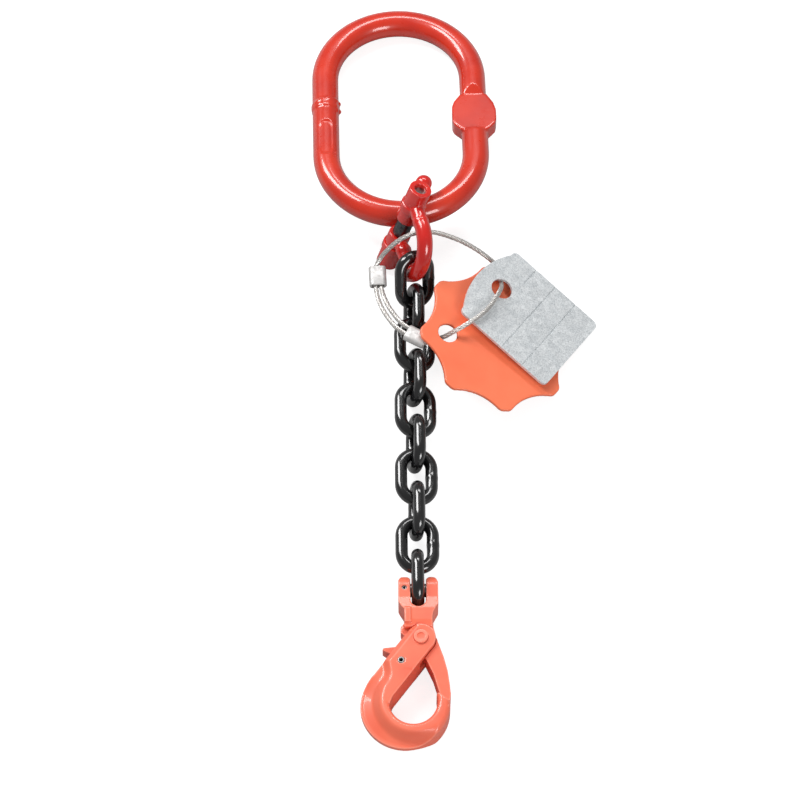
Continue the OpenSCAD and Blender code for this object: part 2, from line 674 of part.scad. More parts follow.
// Crimped ferrule round both strands, its length along Y
module ferrule(at, turn, fall) {
    color("gainsboro") centred() translate(at) rotate([0, 0, turn]) rotate([fall, 0, 0])
        difference() {
            rotate([90, 0, 0]) linear_extrude(ferrule_len, center = true) {
                square([ferrule_w - ferrule_t, ferrule_t], center = true);
                for (s = [1, -1]) translate([s * (ferrule_w - ferrule_t) / 2, 0])
                    circle(d = ferrule_t);
            }
            cube([2 * rope_d + 1.2, ferrule_len + 1, rope_d + 0.3], center = true);
        }
}

module ferrule_upper() { ferrule(ferrule_upper_at, 3, 3); }
module ferrule_lower() { ferrule(ferrule_lower_at, 62, 2); }

// ---- Grade plate with eight round lobes and hollow sides
module grade_plate() {
    lobe_r = plate_span / 2;
    apothem = lobe_r * cos(22.5);
    chord = 2 * lobe_r * sin(22.5);
    hollow_r = pow(chord / 2, 2) / (2 * plate_hollow) + plate_hollow / 2;
    color("coral") centred() translate(plate_at) rotate([0, plate_tip, 0])
        rotate([0, 0, plate_turn]) translate([0, 0, -plate_t / 2]) linear_extrude(plate_t)
            difference() {
                circle(r = lobe_r - 1);
                for (a = [22.5 : 45 : 360]) rotate(a)
                    translate([apothem - plate_hollow + hollow_r + 2.2, 0]) circle(r = hollow_r);
                translate(plate_hole_at) circle(d = plate_hole_d);
            }
}

// ---- Rating tag: a rectangle whose end at the hole is a broad round nose
module rating_tag() {
    half = tag_len / 2;
    nose_r = 0.86 * tag_w;
    neck = nose_r - sqrt(pow(nose_r, 2) - pow(tag_w / 2 - 3, 2)) + 2.6;
    color("lightgray") centred() translate(tag_at) rotate([0, tag_tip, 0])
        rotate([0, 0, -tag_turn]) translate([0, 0, -tag_t / 2]) linear_extrude(tag_t)
            difference() {
                union() {
                    translate([-half + neck, -tag_w / 2]) square([tag_len - neck - 3, tag_w]);
                    for (s = [1, -1]) translate([-half + neck, s * (tag_w / 2 - 3)]) circle(r = 3);
                    translate([half - 6, -tag_w / 2 + 3]) square([6, tag_w - 6]);
                    for (s = [1, -1]) translate([half - 3, s * (tag_w / 2 - 3)]) circle(r = 3);
                    intersection() {
                        translate([-half + nose_r, 0]) circle(r = nose_r);
                        translate([-half, 3 - tag_w / 2]) square([tag_w, tag_w - 6]);
                    }
                }
                translate(tag_hole_at) circle(d = tag_hole_d);
            }
}

master_link();
coupling_half_upper();
coupling_half_lower();
coupling_pin();
coupling_bush();
chain_link(1);  // chain_link_01
chain_link(2);  // chain_link_02
chain_link(3);  // chain_link_03
chain_link(4);  // chain_link_04
chain_link(5);  // chain_link_05
chain_link(6);  // chain_link_06
chain_link(7);  // chain_link_07
chain_link(8);  // chain_link_08
chain_link(9);  // chain_link_09
chain_link(10);  // chain_link_10
hook_clevis();
load_pin();
load_pin_keeper();
hook_jaw();
jaw_rivet();
trigger();
trigger_pin();
trigger_spring();
tag_wire();
ferrule_upper();
ferrule_lower();
grade_plate();
rating_tag();
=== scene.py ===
import bmesh
import bpy
import json
from math import atan2, cos, degrees, hypot, pi, radians, sin
from mathutils import Matrix, Vector


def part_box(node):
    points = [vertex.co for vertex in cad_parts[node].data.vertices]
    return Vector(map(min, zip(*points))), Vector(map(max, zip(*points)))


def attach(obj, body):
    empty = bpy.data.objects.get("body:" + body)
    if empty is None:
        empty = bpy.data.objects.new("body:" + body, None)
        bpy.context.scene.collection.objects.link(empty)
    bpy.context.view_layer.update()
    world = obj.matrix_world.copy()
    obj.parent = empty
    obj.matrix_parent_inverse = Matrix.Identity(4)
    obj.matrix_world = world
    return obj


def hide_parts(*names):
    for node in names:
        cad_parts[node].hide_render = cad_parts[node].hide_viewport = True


# Short chain sling: master link, coupling link, chain, self-locking hook, wire loop and tags.
# Metres, with the sling lying along Y: the master link at +Y, the hook at -Y.
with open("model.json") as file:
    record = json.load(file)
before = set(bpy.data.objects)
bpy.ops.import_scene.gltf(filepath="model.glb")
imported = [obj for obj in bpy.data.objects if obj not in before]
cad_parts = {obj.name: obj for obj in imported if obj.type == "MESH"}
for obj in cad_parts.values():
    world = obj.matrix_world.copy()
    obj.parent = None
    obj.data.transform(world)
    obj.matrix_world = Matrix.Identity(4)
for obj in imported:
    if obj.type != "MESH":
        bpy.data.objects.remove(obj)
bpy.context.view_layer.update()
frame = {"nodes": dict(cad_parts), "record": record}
nodes = frame["nodes"]
mm = 0.001


# Work on the meshes

def only(*objs):
    if bpy.context.mode != "OBJECT":
        bpy.ops.object.mode_set(mode="OBJECT")
    bpy.ops.object.select_all(action="DESELECT")
    for o in objs:
        o.select_set(True)
    bpy.context.view_layer.objects.active = objs[0]


def modify(obj, kind, **settings):
    only(obj)
    mod = obj.modifiers.new(kind.title(), kind)
    for key, value in settings.items():
        setattr(mod, key, value)
    bpy.ops.object.modifier_apply(modifier=mod.name)


def fixPlace(obj):
    # the object ends at the origin, with its place in its mesh
    only(obj)
    bpy.ops.object.transform_apply(location=True, rotation=True, scale=True)
    return obj


def copyNode(node, name):
    # a closed copy of the solid's mesh, free to be worked on
    obj = nodes[node].copy()
    obj.data = nodes[node].data.copy()
    obj.parent = None
    for key in list(obj.keys()):
        del obj[key]
    obj.name = name
    obj.data.name = name
    bpy.context.scene.collection.objects.link(obj)
    only(obj)
    bpy.ops.object.mode_set(mode="EDIT")
    bpy.ops.mesh.select_all(action="SELECT")
    bpy.ops.mesh.remove_doubles(threshold=1e-6)
    bpy.ops.mesh.normals_make_consistent(inside=False)
    bpy.ops.object.mode_set(mode="OBJECT")
    return obj


def joinAll(base, others):
    only(base, *others)
    bpy.ops.object.join()
    return base


def block(size, at):
    bpy.ops.mesh.primitive_cube_add(size=1, location=at)
    obj = bpy.context.object
    obj.scale = size
    return fixPlace(obj)


def cutWith(obj, cutters):
    cutter = joinAll(cutters[0], cutters[1:])
    modify(obj, "BOOLEAN", operation="DIFFERENCE", solver="EXACT", object=cutter, use_self=True)
    bpy.data.objects.remove(cutter)


def forge(obj, voxel, rounds):
    # one skin over everything joined so far, with its edges rounded as a forging's are
    modify(obj, "REMESH", mode="VOXEL", voxel_size=voxel)
    modify(obj, "SMOOTH", factor=0.5, iterations=rounds)
    only(obj)
    bpy.ops.object.shade_smooth()


def breakEdges(obj, width, segments=3, corner=50, smooth=35):
    # a small radius on the sharp edges, and smooth shading up to the given angle
    modify(obj, "BEVEL", width=width, segments=segments, limit_method="ANGLE", angle_limit=radians(corner))
    only(obj)
    bpy.ops.object.shade_smooth_by_angle(angle=radians(smooth))


def bodyOf(node):
    for name, members in frame["record"]["behaviour"]["bodies"].items():
        if node in members:
            return name


def finishPiece(obj, node, slot):
    obj.data.materials.clear()
    obj.data.materials.append(finishes[slot])
    for face in obj.data.polygons:
        face.material_index = 0
    for vertex in obj.data.vertices:
        vertex.co.z = max(vertex.co.z, 0.0)   # nothing sinks below z = 0, where the sling rests
    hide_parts(node)
    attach(obj, bodyOf(node))


# Work on the finishes

def newFinish(name):
    mat = bpy.data.materials.new(name)
    mat.use_nodes = True
    tree = mat.node_tree
    where = tree.nodes.new("ShaderNodeTexCoord")
    return mat, tree, tree.nodes["Principled BSDF"], where.outputs["Object"]


def addNoise(tree, where, scale, detail=3.0, rough=0.5):
    node = tree.nodes.new("ShaderNodeTexNoise")
    node.inputs["Scale"].default_value = scale
    node.inputs["Detail"].default_value = detail
    node.inputs["Roughness"].default_value = rough
    tree.links.new(where, node.inputs["Vector"])
    return node.outputs["Fac"]


def addRamp(tree, fac, stops):
    node = tree.nodes.new("ShaderNodeValToRGB")
    while len(node.color_ramp.elements) < len(stops):
        node.color_ramp.elements.new(0.5)
    for element, (at, colour) in zip(node.color_ramp.elements, stops):
        element.position = at
        element.color = (*colour, 1)
    tree.links.new(fac, node.inputs["Fac"])
    return node.outputs["Color"]


def addRange(tree, value, low, high, toLow, toHigh):
    node = tree.nodes.new("ShaderNodeMapRange")
    node.inputs["From Min"].default_value = low
    node.inputs["From Max"].default_value = high
    node.inputs["To Min"].default_value = toLow
    node.inputs["To Max"].default_value = toHigh
    tree.links.new(value, node.inputs["Value"])
    return node.outputs["Result"]


def addMix(tree, fac, one, two, blend="MIX"):
    node = tree.nodes.new("ShaderNodeMix")
    node.data_type = "RGBA"
    node.blend_type = blend
    for value, socket in ((fac, node.inputs["Factor"]), (one, node.inputs["A"]), (two, node.inputs["B"])):
        if isinstance(value, (int, float)):
            socket.default_value = value
        elif isinstance(value, tuple):
            socket.default_value = (*value, 1)
        else:
            tree.links.new(value, socket)
    return node.outputs["Result"]


def addBump(tree, shader, height, strength, distance):
    node = tree.nodes.new("ShaderNodeBump")
    node.inputs["Strength"].default_value = strength
    node.inputs["Distance"].default_value = distance
    tree.links.new(height, node.inputs["Height"])
    tree.links.new(node.outputs["Normal"], shader.inputs["Normal"])


def paint(name, colour, dark, pale, rough, coat, bumpScale, bumpDepth,
          edge=0.0, highlightPointiness=(0.51, 0.58), shadePointiness=(0.465, 0.40), highlightLift=0.03):
    # sprayed or dipped paint: slow colour drift, fine bumps, paler on sharp edges as a painted highlight
    # and darker in corners as painted shade.
    # the two spans hold the pointiness at which the painted highlight and the painted shade each start and
    # are full
    mat, tree, shader, where = newFinish(name)
    shades = [(0.3, dark), (0.5, colour), (0.72, pale)]
    drift = addRamp(tree, addNoise(tree, where, scale=45, detail=4), shades)
    if edge:
        pointiness = tree.nodes.new("ShaderNodeNewGeometry").outputs["Pointiness"]
        paintedHighlight = addRange(tree, pointiness, *highlightPointiness, 0.0, edge)
        paintedShade = addRange(tree, pointiness, *shadePointiness, 0.0, edge)
        # painted highlight: sharp edges and ridges made paler than the paint
        drift = addMix(tree, paintedHighlight, drift, tuple(min(1.0, c * 1.25 + highlightLift) for c in colour))
        # painted shade: hollows and corners made darker than the paint
        drift = addMix(tree, paintedShade, drift, tuple(c * 0.45 for c in colour))
    tree.links.new(drift, shader.inputs["Base Color"])
    patches = addNoise(tree, where, scale=160, detail=2)
    gloss = addRange(tree, patches, 0.3, 0.7, rough * 0.85, rough * 1.15)
    tree.links.new(gloss, shader.inputs["Roughness"])
    shader.inputs["Coat Weight"].default_value = coat
    shader.inputs["Coat Roughness"].default_value = 0.06
    addBump(tree, shader, addNoise(tree, where, bumpScale), strength=0.35, distance=bumpDepth)
    return mat


def bareMetal(name, colour, dark, rough, scale, metallic=1.0):
    # one fine grain drives the colour, the roughness and the bumps
    mat, tree, shader, where = newFinish(name)
    grain = addNoise(tree, where, scale, detail=4)
    tree.links.new(addRamp(tree, grain, [(0.3, dark), (0.7, colour)]), shader.inputs["Base Color"])
    tree.links.new(addRange(tree, grain, 0.3, 0.7, rough * 1.2, rough * 0.8), shader.inputs["Roughness"])
    shader.inputs["Metallic"].default_value = metallic
    addBump(tree, shader, grain, strength=0.3, distance=0.00004)
    return mat


def spangledZinc(name):
    # hot-dip zinc: crystal cells of slightly different grey, under fine specks
    mat, tree, shader, where = newFinish(name)
    cells = tree.nodes.new("ShaderNodeTexVoronoi")
    cells.inputs["Scale"].default_value = 420
    tree.links.new(where, cells.inputs["Vector"])
    split = tree.nodes.new("ShaderNodeSeparateColor")
    tree.links.new(cells.outputs["Color"], split.inputs["Color"])
    base = addRamp(tree, split.outputs["Red"], [(0.0, (0.67, 0.70, 0.715)), (1.0, (0.80, 0.825, 0.835))])
    speck = addRamp(tree, addNoise(tree, where, scale=1400, rough=0.7),
                    [(0.36, (0.72, 0.73, 0.74)), (0.6, (1.06, 1.06, 1.06))])
    tree.links.new(addMix(tree, 1.0, base, speck, "MULTIPLY"), shader.inputs["Base Color"])
    tree.links.new(addRange(tree, split.outputs["Green"], 0, 1, 0.38, 0.58), shader.inputs["Roughness"])
    shader.inputs["Metallic"].default_value = 0.35
    addBump(tree, shader, addNoise(tree, where, scale=900), strength=0.3, distance=0.00008)
    return mat


# where edge is given, paint() adds a painted highlight on sharp edges and painted shade in hollows; the
# hook's coat gets the strongest painted highlight
finishes = {
    "red_enamel": paint(
        "redEnamel", (0.64, 0.026, 0.006), (0.54, 0.016, 0.004), (0.70, 0.036, 0.009),
        rough=0.30, coat=0.9, bumpScale=260, bumpDepth=0.00004, edge=0.4),
    "deep_red_enamel": paint(
        "deepRedEnamel", (0.64, 0.012, 0.007), (0.46, 0.006, 0.005), (0.74, 0.024, 0.013),
        rough=0.24, coat=0.9, bumpScale=420, bumpDepth=0.00008, edge=0.6),
    "black_lacquer": paint(
        "blackLacquer", (0.006, 0.006, 0.0065), (0.003, 0.003, 0.0035), (0.011, 0.011, 0.012),
        rough=0.22, coat=1.0, bumpScale=420, bumpDepth=0.00012),
    "coral_powder_coat": paint(
        "coralCoat", (0.93, 0.170, 0.092), (0.90, 0.142, 0.080), (0.96, 0.198, 0.110),
        rough=0.40, coat=0.35, bumpScale=900, bumpDepth=0.00003, edge=0.8, highlightPointiness=(0.504, 0.535), highlightLift=0.10),
    "coral_plate": paint(
        "coralPlate", (0.95, 0.195, 0.088), (0.92, 0.175, 0.078), (0.97, 0.215, 0.10),
        rough=0.36, coat=0.2, bumpScale=500, bumpDepth=0.00002),
    "phosphated_steel": bareMetal(
        "phosphatedSteel", (0.13, 0.13, 0.135), (0.07, 0.07, 0.075), rough=0.30, scale=900),
    "pin_steel": bareMetal(
        "pinSteel", (0.42, 0.41, 0.40), (0.22, 0.21, 0.21), rough=0.34, scale=900),
    "galvanised_sheet": spangledZinc("spangledZinc"),
    "stranded_stainless": bareMetal(
        "strandedStainless", (0.78, 0.76, 0.73), (0.46, 0.44, 0.42), rough=0.32, scale=1500, metallic=0.65),
    "crimped_aluminium": bareMetal(
        "crimpedAluminium", (0.66, 0.65, 0.64), (0.50, 0.49, 0.48), rough=0.5, scale=700, metallic=0.5),
}
print("finishes ready")


# Camera

view = {
    "target": (-0.02536, -0.01832, 0.0), "elevation": 62.0, "distance": 1.618,
    "lens": 148.5, "sensor": 36,
}


def makeCamera():
    camera = bpy.data.cameras.new("productCamera")
    camera.lens = view["lens"]
    camera.sensor_width = view["sensor"]
    camera.clip_start, camera.clip_end = 0.05, 20
    eye = bpy.data.objects.new("productCamera", camera)
    bpy.context.scene.collection.objects.link(eye)
    rise = radians(view["elevation"])
    eye.location = Vector(view["target"]) + view["distance"] * Vector((0, -cos(rise), sin(rise)))
    eye.rotation_euler = (pi / 2 - rise, 0, 0)
    bpy.context.scene.camera = eye
    bpy.context.scene.view_settings.view_transform = "Standard"


makeCamera()
print("camera set")


# Wire rope, six strands laid round a core, and the two ferrules that close its loop

rope = {
    "shift": (-0.018357, 0.045977, 0.0), "diameter": 0.0024, "strandR": 0.00042, "strands": 6,
    "layLength": 0.0155, "stepsPerGap": 9,
    "route": [
        (0.0084, -0.0415, 0.0203), (0.0047, -0.0445, 0.0220), (0.0003, -0.0429, 0.0225),
        (-0.0046, -0.0395, 0.0225), (-0.0090, -0.0359, 0.0225), (-0.0129, -0.0303, 0.0220),
        (-0.0163, -0.0232, 0.0210), (-0.0183, -0.0159, 0.0200), (-0.0192, -0.0085, 0.0200),
        (-0.0192, -0.0025, 0.0205), (-0.0169, 0.0023, 0.0230), (-0.0129, 0.0051, 0.0275),
        (-0.0080, 0.0070, 0.0325), (-0.0031, 0.0079, 0.0362), (0.0009, 0.0085, 0.0376),
        (0.0058, 0.0093, 0.0372), (0.0107, 0.0101, 0.0352), (0.0166, 0.0105, 0.0314),
        (0.0231, 0.0099, 0.0276), (0.0296, 0.0082, 0.0236), (0.0351, 0.0061, 0.0200),
        (0.0403, 0.0024, 0.0174), (0.0424, -0.0030, 0.0165), (0.0430, -0.0082, 0.0170),
        (0.0431, -0.0112, 0.0196), (0.0424, -0.0148, 0.0226), (0.0402, -0.0204, 0.0246),
        (0.0370, -0.0260, 0.0256), (0.0330, -0.0310, 0.0268), (0.0282, -0.0350, 0.0273),
        (0.0238, -0.0380, 0.0269), (0.0204, -0.0394, 0.0256), (0.0176, -0.0400, 0.0235),
        (0.0148, -0.0402, 0.0208), (0.0116, -0.0404, 0.0194), (0.0080, -0.0396, 0.0204),
        (0.0052, -0.0413, 0.0222), (0.0018, -0.0392, 0.0225), (-0.0024, -0.0368, 0.0225),
        (-0.0068, -0.0330, 0.0225), (-0.0106, -0.0275, 0.0220), (-0.0137, -0.0210, 0.0210),
        (-0.0158, -0.0142, 0.0200), (-0.0167, -0.0079, 0.0200), (-0.0171, -0.0025, 0.0205),
    ],
}
ferrule = {"edge": 0.0004}


def smoothRoute():
    # one smooth curve through every point of the route
    points = [Vector(p) + Vector(rope["shift"]) for p in rope["route"]]
    line = []
    for i in range(len(points) - 1):
        a, b = points[max(i - 1, 0)], points[i]
        c, d = points[i + 1], points[min(i + 2, len(points) - 1)]
        for s in range(rope["stepsPerGap"]):
            u = s / rope["stepsPerGap"]
            line.append(b + u * (c - a) / 2 + u * u * (a - 2.5 * b + 2 * c - d / 2)
                        + u * u * u * (1.5 * b - 1.5 * c + (d - a) / 2))
    line.append(points[-1])
    return line


def makeRope(line):
    # at each point: its place, two directions across the rope, and the length up to it
    across = Vector((0, 0, 1)).cross(line[1] - line[0]).normalized()
    frames, run = [], 0.0
    for i, p in enumerate(line):
        ahead = (line[min(i + 1, len(line) - 1)] - line[max(i - 1, 0)]).normalized()
        across = (across - ahead * across.dot(ahead)).normalized()
        frames.append((p, across.copy(), ahead.cross(across), run))
        if i + 1 < len(line):
            run += (line[i + 1] - p).length
    data = bpy.data.curves.new("wireRopeLaid", "CURVE")
    data.dimensions = "3D"
    data.bevel_depth = rope["strandR"]
    data.bevel_resolution = 1
    data.use_fill_caps = True
    for s in range(rope["strands"] + 1):   # the last one is the core
        reach = rope["diameter"] / 2 - rope["strandR"] if s < rope["strands"] else 0
        spline = data.splines.new("POLY")
        spline.points.add(len(frames) - 1)
        for i, (p, one, two, done) in enumerate(frames):
            angle = 2 * pi * (done / rope["layLength"] + s / rope["strands"])
            at = p + (one * cos(angle) + two * sin(angle)) * reach
            spline.points[i].co = (*at, 1)
    obj = bpy.data.objects.new("wireRopeLaid", data)
    bpy.context.scene.collection.objects.link(obj)
    only(obj)
    bpy.ops.object.convert(target="MESH")
    bpy.ops.object.shade_smooth()
    return bpy.context.object, run


def makeFerrules():
    pieces = []
    for node in ("ferrule_upper", "ferrule_lower"):
        sleeve = copyNode(node, "crimped" + node.title().replace("_", ""))
        breakEdges(sleeve, ferrule["edge"], smooth=40)
        finishPiece(sleeve, node, "crimped_aluminium")
        pieces.append(sleeve)
    return pieces


ferrules = makeFerrules()
wireLine = smoothRoute()
wire, wireLength = makeRope(wireLine)
finishPiece(wire, "tag_wire", "stranded_stainless")
print("wire rope done, length", round(wireLength, 4))


# Master link, worked flat with its centre at the origin and then laid in place

masterLink = {
    "nearLimb": (-0.02382, 0.07624, 0.01971), "lean": 1.5, "tilt": 6.03,
    "reach": 0.1239, "bendR": 0.0377, "barR": 0.0067, "voxel": 0.00046,
    # butt weld on the left limb: two upset seams, and beads of flash given by place and radius
    "weldY": 0.006,
    "seams": ({"along": 0.0016, "radius": 0.0064, "thick": 0.0011, "lean": 11},
              {"along": -0.0018, "radius": 0.0063, "thick": 0.0009, "lean": -4}),
    "flash": (((0.0066, 0.0021, 0.0012), 0.0014), ((0.0069, -0.0022, 0.0004), 0.0013),
              ((0.0058, -0.0034, 0.0028), 0.0010), ((0.0052, -0.0010, 0.0040), 0.0011),
              ((-0.0065, 0.0006, 0.0010), 0.0009)),
    # sunk panel below the weld
    "panelY": -0.0165, "panelHalf": (0.0034, 0.0105), "panelDepth": 0.0006, "panelFade": (0.75, 1.25),
}


def ringPlace():
    m = masterLink
    return (Matrix.Translation(m["nearLimb"]) @ Matrix.Rotation(radians(m["lean"]), 4, "Z")
            @ Matrix.Rotation(-radians(m["tilt"]), 4, "X") @ Matrix.Translation((0, m["reach"] / 2, 0)))


def sinkPanel(link):
    # the panel's floor follows the bar, and its rim fades out over a short slope
    m = masterLink
    halfW, halfL = m["panelHalf"]
    fadeStart, fadeEnd = m["panelFade"]
    for vertex in link.data.vertices:
        p = vertex.co
        x, y, z = p.x + m["bendR"], p.y - m["panelY"], p.z
        reach = (atan2(x, z) * m["barR"] / halfW) ** 4 + (y / halfL) ** 4
        if reach < fadeEnd:
            sink = m["panelDepth"] * min(1.0, (fadeEnd - reach) / (fadeEnd - fadeStart))
            r = hypot(x, z)
            p.x -= x / r * sink
            p.z -= z / r * sink


def makeMasterLink():
    m = masterLink
    place = ringPlace()
    link = copyNode("master_link", "masterLinkForged")
    link.data.transform(place.inverted())
    extras = []
    for seam in m["seams"]:
        bpy.ops.mesh.primitive_torus_add(major_radius=seam["radius"], minor_radius=seam["thick"],
                                         major_segments=48, minor_segments=12,
                                         location=(-m["bendR"], m["weldY"] + seam["along"], 0),
                                         rotation=(pi / 2, 0, radians(seam["lean"])))
        extras.append(fixPlace(bpy.context.object))
    for at, radius in m["flash"]:
        bpy.ops.mesh.primitive_ico_sphere_add(subdivisions=2, radius=radius,
                                              location=Vector(at) + Vector((-m["bendR"], m["weldY"], 0)))
        extras.append(fixPlace(bpy.context.object))
    joinAll(link, extras)
    forge(link, m["voxel"], rounds=7)
    sinkPanel(link)
    link.data.transform(place)
    finishPiece(link, "master_link", "red_enamel")


makeMasterLink()
print("master link done")


# Coupling link: two forged halves, a pin and the bush between its bosses

coupling = {"voxel": 0.00032, "edge": 0.0004}


def makeCoupling():
    for node in ("coupling_half_upper", "coupling_half_lower"):
        half = copyNode(node, "forged" + node.title().replace("_", ""))
        forge(half, coupling["voxel"], rounds=5)
        finishPiece(half, node, "deep_red_enamel")
    for node, slot in (("coupling_bush", "phosphated_steel"), ("coupling_pin", "pin_steel")):
        turned = copyNode(node, "turned" + node.title().replace("_", ""))
        breakEdges(turned, coupling["edge"])
        finishPiece(turned, node, slot)


makeCoupling()
print("coupling done")


# Chain: one link is drawn, and each copy goes where its solid lies.
# Link by link, climb, turn and lean are its turns about X, Y and Z in degrees

chain = {
    "wireR": 0.003, "bendR": 0.0075, "halfStraight": 0.0047, "weldHalf": 0.0022, "weldSwell": 0.05,
    "ringSteps": 28, "limbSteps": 12, "bendSteps": 26,
    "climb": (49.7, 3, 0, 0, 0, 0, 0, 0, 0, 0), "turn": (24, 17, 19, 20, 17, 14, 11, 8, 4, 0),
    "lean": (1.0, 0.6, 0.6, 0.6, 0.6, 0.6, 0.6, 0.6, 0.6, 0.6),
}


def drawLink():
    c = chain
    bpy.ops.mesh.primitive_circle_add(radius=c["wireR"], vertices=c["ringSteps"],
                                      location=(c["bendR"], -c["halfStraight"], 0), rotation=(pi / 2, 0, 0))
    link = fixPlace(bpy.context.object)
    link.name = "chainLink"
    only(link)
    bpy.ops.object.mode_set(mode="EDIT")
    bpy.ops.mesh.select_all(action="SELECT")
    for way in (1, -1):
        step = way * 2 * c["halfStraight"] / c["limbSteps"]
        for _ in range(c["limbSteps"]):
            bpy.ops.mesh.extrude_region_move(TRANSFORM_OT_translate={"value": (0, step, 0)})
        bpy.ops.mesh.spin(steps=c["bendSteps"], angle=-pi,
                          center=(0, way * c["halfStraight"], 0), axis=(0, 0, 1))
    bpy.ops.mesh.select_all(action="SELECT")
    bpy.ops.mesh.remove_doubles(threshold=1e-6)
    bpy.ops.mesh.normals_make_consistent(inside=False)
    bpy.ops.object.mode_set(mode="OBJECT")
    # trimmed butt weld in the middle of one limb
    for vertex in link.data.vertices:
        p = vertex.co
        if p.x > 0 and abs(p.y) < c["weldHalf"]:
            swell = 1 + c["weldSwell"] * cos(p.y / c["weldHalf"] * pi / 2) ** 2
            p.x = c["bendR"] + (p.x - c["bendR"]) * swell
            p.z = p.z * swell
    only(link)
    bpy.ops.object.shade_smooth()
    modify(link, "SUBSURF", levels=1, render_levels=1)
    return link


def makeChain():
    master = drawLink()
    for k, (climb, turn, lean) in enumerate(zip(chain["climb"], chain["turn"], chain["lean"])):
        number = "%02d" % (k + 1)
        node = "chain_link_" + number
        low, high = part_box(node)
        link = master.copy()
        link.data = master.data.copy()
        link.name = "weldedLink" + number
        bpy.context.scene.collection.objects.link(link)
        stand = 90 if k % 2 else 0   # every second link stands on edge
        laid = (Matrix.Rotation(radians(lean), 4, "Z") @ Matrix.Rotation(radians(climb), 4, "X")
                @ Matrix.Rotation(radians(turn + stand), 4, "Y"))
        link.data.transform(Matrix.Translation((low + high) / 2) @ laid)
        finishPiece(link, node, "black_lacquer")
    bpy.data.objects.remove(master)


makeChain()
print("chain done")


# Hook, worked in its own plane with the load pin at the origin

hook = {
    "pin": (-0.01681, -0.12545, 0.0097), "lean": 0.6, "voxel": 0.00032, "triggerVoxel": 0.00022,
    "rivetEdge": 0.0005, "pinEdge": 0.00015,
    "neckBlock": {"size": (0.0030, 0.0074, 0.0022), "at": (-0.0052, -0.0157, 0.0071)},
}

# The bowl's face, in millimetres and degrees. Heights are from the hook's middle plane. Lengths along
# the strap start at the rivet, and bearings are taken round the middle of the bowl's disc.
bowl = {
    "rivet": (0.9, -27.4), "strapLean": 36.8, "strapStart": -4.0,
    "bead": (-2.0, -58.7, 17.9), "disc": (-6.7, -59.8),   # middles, and the bead's outer radius
    # the two flats, and the strap's outer ridge with the fall beyond it
    "strapTop": 8.2, "bowlTop": 7.85, "ridge": 4.5, "ridgeSlope": 0.85,
    # thin web: radius and height at each end of its slope, and the bearings where it thickens again
    "webInner": (9.0, 5.9), "webOuter": (19.3, 1.5), "webEnds": (-80.0, -22.0), "tipSide": (-95.0, 60.0),
    # strap's foot: where it starts and ends, and how far out the strap's edge lies at both
    "foot": (13.0, 26.8), "footFade": 8.0, "strapEdge": (7.2, 1.5),
    # past the fork's root, faces down to a little under the web are raised to the slope
    "forkRoot": 25.6, "fillFrom": 25.9, "fillUnder": 0.5, "cheekLow": 4.9, "cheekFade": 12.0,
    # the slope's width and how far inwards it starts, and the rim's rounding: from where, and its radius
    "blend": 5.6, "blendLead": 3.2, "blendFade": 12.0, "rimRound": (17.9, 3.0),
}


def hookPlace():
    return Matrix.Translation(hook["pin"]) @ Matrix.Rotation(radians(hook["lean"]), 4, "Z")


def ease(value):
    value = min(1.0, max(0.0, value))
    return value * value * (3 - 2 * value)


def between(start, end, part):
    return start + (end - start) * part


def dressBowl(jaw):
    # the strap's foot and the round bead run into the thin web in one soft slope
    b = bowl
    lean = radians(b["strapLean"])
    footStart, footEnd = b["foot"]
    (innerR, innerTop), (outerR, outerTop) = b["webInner"], b["webOuter"]
    webStart, webStop = b["webEnds"]
    beadX, beadY, beadR = b["bead"]
    for vertex in jaw.data.vertices:
        p = vertex.co
        x, y, height = p.x / mm, p.y / mm, abs(p.z) / mm
        dx, dy = x - b["rivet"][0], y - b["rivet"][1]
        along, side = -dx * sin(lean) - dy * cos(lean), -dx * cos(lean) + dy * sin(lean)
        if along < b["strapStart"]:
            continue
        fromBead = hypot(x - beadX, y - beadY) - beadR
        discX, discY = x - b["disc"][0], y - b["disc"][1]
        radius, bearing = hypot(discX, discY), degrees(atan2(discY, discX))
        flat = between(b["strapTop"], b["bowlTop"], ease((along - footStart) / b["footFade"]))
        web = between(innerTop, outerTop, min(1.0, max(0.0, (radius - innerR) / (outerR - innerR))))
        low = web + max(0.0, b["cheekLow"] - web) * (1 - ease((along - b["forkRoot"]) / b["cheekFade"]))
        # how far the point lies outside the strap's edge or the bead, whichever is nearer
        edge = between(*b["strapEdge"], ease((along - footStart) / (footEnd - footStart)))
        off = fromBead if along > footEnd else min(fromBead, side - edge)
        lead = b["blendLead"] * ease((along - footStart) / b["blendFade"])
        slope = ease((off + lead) / b["blend"])
        top = between(flat, low, slope)
        if b["tipSide"][0] < bearing < b["tipSide"][1]:
            if bearing > webStop:
                continue
            top = between(top, flat, 1 - ease((webStop - bearing) / (webStop - webStart)))
            rimStart, rimR = b["rimRound"]
            over = max(0.0, radius - rimStart)
            top = min(top, flat - rimR + max(0.0, rimR ** 2 - over ** 2) ** 0.5)
        if along < b["forkRoot"]:
            ridge = b["strapTop"] - max(0.0, side - b["ridge"]) * b["ridgeSlope"]
            top = min(top, max(ridge, b["cheekLow"]))
        raised = along > b["fillFrom"] and height > web - b["fillUnder"] and slope > 0
        if height > top or raised:
            p.z = (top if p.z > 0 else -top) * mm


